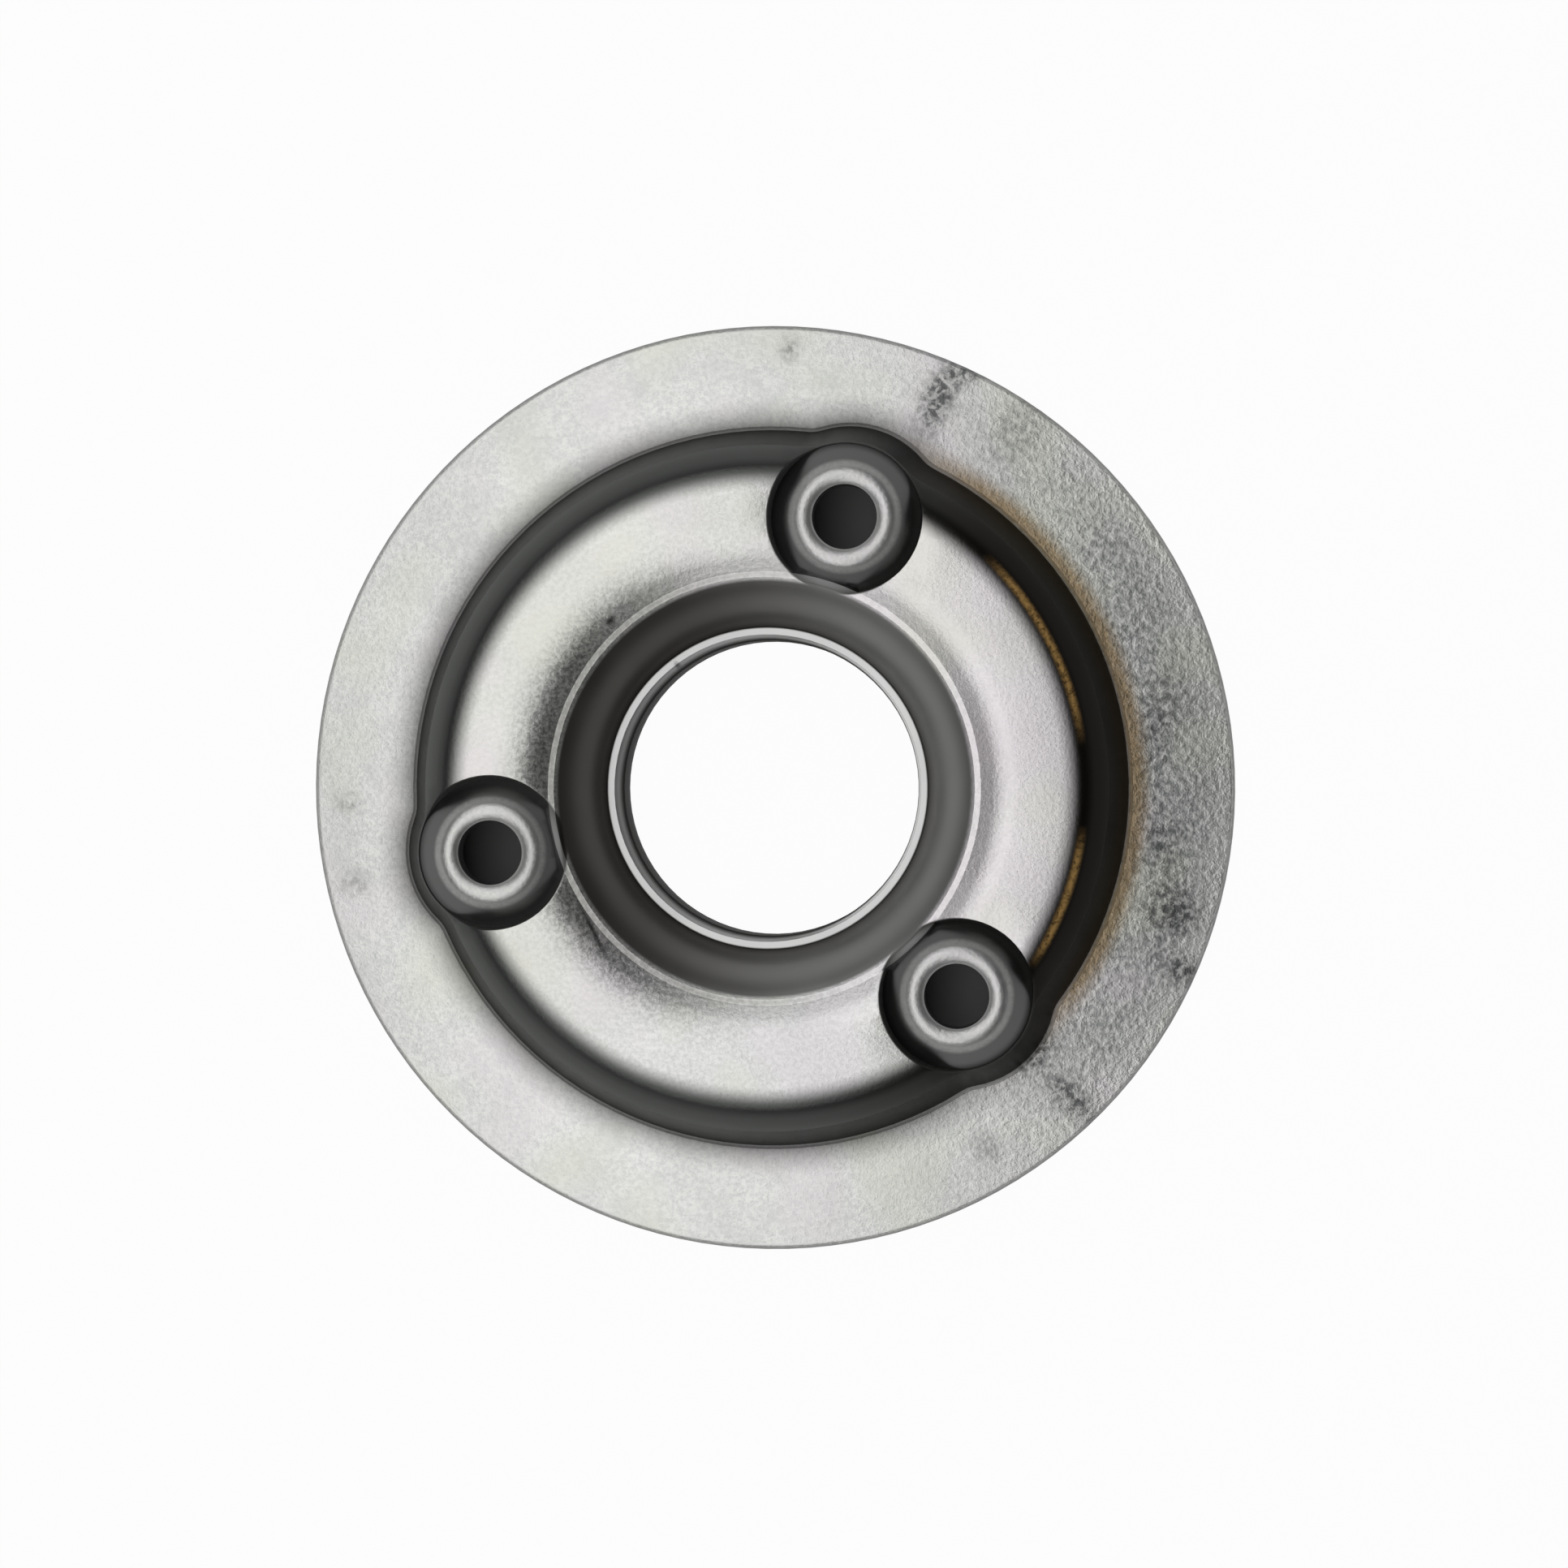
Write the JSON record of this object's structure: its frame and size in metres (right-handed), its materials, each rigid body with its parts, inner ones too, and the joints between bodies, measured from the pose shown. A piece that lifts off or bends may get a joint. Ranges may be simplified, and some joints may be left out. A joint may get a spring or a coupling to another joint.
{
  "type": "brush cutter clamp flange",
  "caption": "Round zinc-plated steel clamp flange: flat brim, raised crown with arc pads and collared bolt holes, and a funnelled centre bore. It clamps a cutting tool on a garden trimmer.",
  "frame": {"origin": "on the bore's axis, in the plane of the brim's underside", "axes": "+Z along the bore, out through the crown; +Y towards one of the bolt holes"},
  "size_m": [0.08, 0.08, 0.0088],
  "materials": {
    "zinc_plated_steel": "satin zinc plating on pressed steel, finely mottled, darker in the drawn recesses"
  },
  "bodies": {
    "root": {"clamp_flange": "zinc_plated_steel"}
  },
  "joints": []
}
